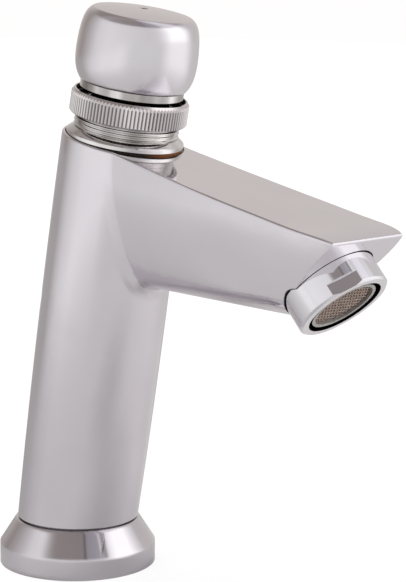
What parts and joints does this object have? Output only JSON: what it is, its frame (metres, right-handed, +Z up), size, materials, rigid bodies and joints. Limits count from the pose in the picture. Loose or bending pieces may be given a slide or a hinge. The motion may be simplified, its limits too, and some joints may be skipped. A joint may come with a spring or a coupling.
{
  "type": "push timed tap",
  "caption": "Leaning column tap with a level-bottomed spout, a tilted aerator and a large push button on a self-closing cartridge.",
  "frame": {"origin": "centre of the inlet at the underside of the base, on the plane the tap stands on", "axes": "+Z up, +X the way the spout points, the plane Y = 0 is the plane of symmetry"},
  "size_m": [0.1368, 0.0478, 0.1708],
  "materials": {
    "tap_body": "polished",
    "base_ring": "polished",
    "base_gasket": "matt",
    "collar_washer": "fibre",
    "cartridge_head": "turned and plated",
    "head_seal": "matt",
    "stem_seal": "matt",
    "knurled_ring": "polished",
    "button_sleeve": "polished",
    "push_button": "polished",
    "button_grub": "dark",
    "stem": "turned",
    "piston": "moulded",
    "lip_seal": "matt",
    "piston_clip": "spring steel",
    "timing_sleeve": "moulded",
    "return_spring": "drawn wire",
    "valve_seat": "turned",
    "seat_seal": "matt",
    "valve_washer": "matt",
    "valve_holder": "turned",
    "valve_nut": "turned",
    "inlet_strainer": "moulded",
    "aerator_housing": "polished",
    "aerator_washer": "matt",
    "aerator_insert": "moulded, bright rim",
    "aerator_mesh": "woven wire"
  },
  "bodies": {
    "tap": {"tap_body": "tap_body", "base_ring": "base_ring", "base_gasket": "base_gasket", "collar_washer": "collar_washer", "cartridge_head": "cartridge_head", "head_seal": "head_seal", "stem_seal": "stem_seal", "knurled_ring": "knurled_ring", "timing_sleeve": "timing_sleeve", "return_spring": "return_spring", "valve_seat": "valve_seat", "seat_seal": "seat_seal", "inlet_strainer": "inlet_strainer", "aerator_housing": "aerator_housing", "aerator_washer": "aerator_washer", "aerator_insert": "aerator_insert", "aerator_mesh": "aerator_mesh"},
    "plunger": {"push_button": "push_button", "button_sleeve": "button_sleeve", "button_grub": "button_grub", "stem": "stem", "piston": "piston", "lip_seal": "lip_seal", "piston_clip": "piston_clip", "valve_holder": "valve_holder", "valve_washer": "valve_washer", "valve_nut": "valve_nut"}
  },
  "joints": [
    {"name": "button_press", "type": "slide", "parent": "tap", "child": "plunger", "axis": [-0.2011, 0, -0.9796], "range_m": [0, 0.0025], "stiffness_N_per_m": 3000, "springref_m": -0.004, "deforming": ["return_spring"]}
  ]
}
